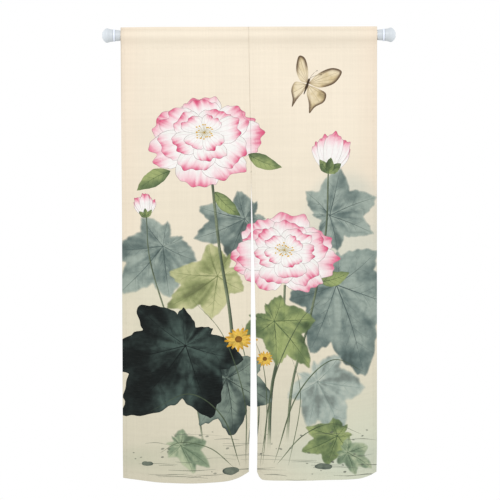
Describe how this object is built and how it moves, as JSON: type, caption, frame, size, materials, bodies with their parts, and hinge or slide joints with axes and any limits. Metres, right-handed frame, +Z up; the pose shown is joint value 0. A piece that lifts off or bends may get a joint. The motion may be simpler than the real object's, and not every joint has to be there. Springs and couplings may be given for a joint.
{
  "type": "noren curtain and tension rod",
  "caption": "Split door curtain of printed linen-look cloth, hung by its top pocket on a white tension rod that presses between two walls.",
  "frame": {"origin": "centre of the left foot's flat outer face, where the rod presses on the wall", "axes": "+X along the rod from the left foot to the right foot, +Z up, and the printed front faces -Y"},
  "size_m": [0.974, 0.0693, 1.5142],
  "materials": {
    "cloth": "matt slub linen weave with a printed flower picture on its front",
    "rod": "white enamel",
    "foot": "satin white moulded plastic",
    "ring": "bright white"
  },
  "bodies": {
    "root": {"left_panel": "cloth", "right_panel": "cloth", "rod": "rod", "left_foot": "foot", "right_foot": "foot", "left_ring": "ring", "right_ring": "ring"}
  },
  "joints": []
}
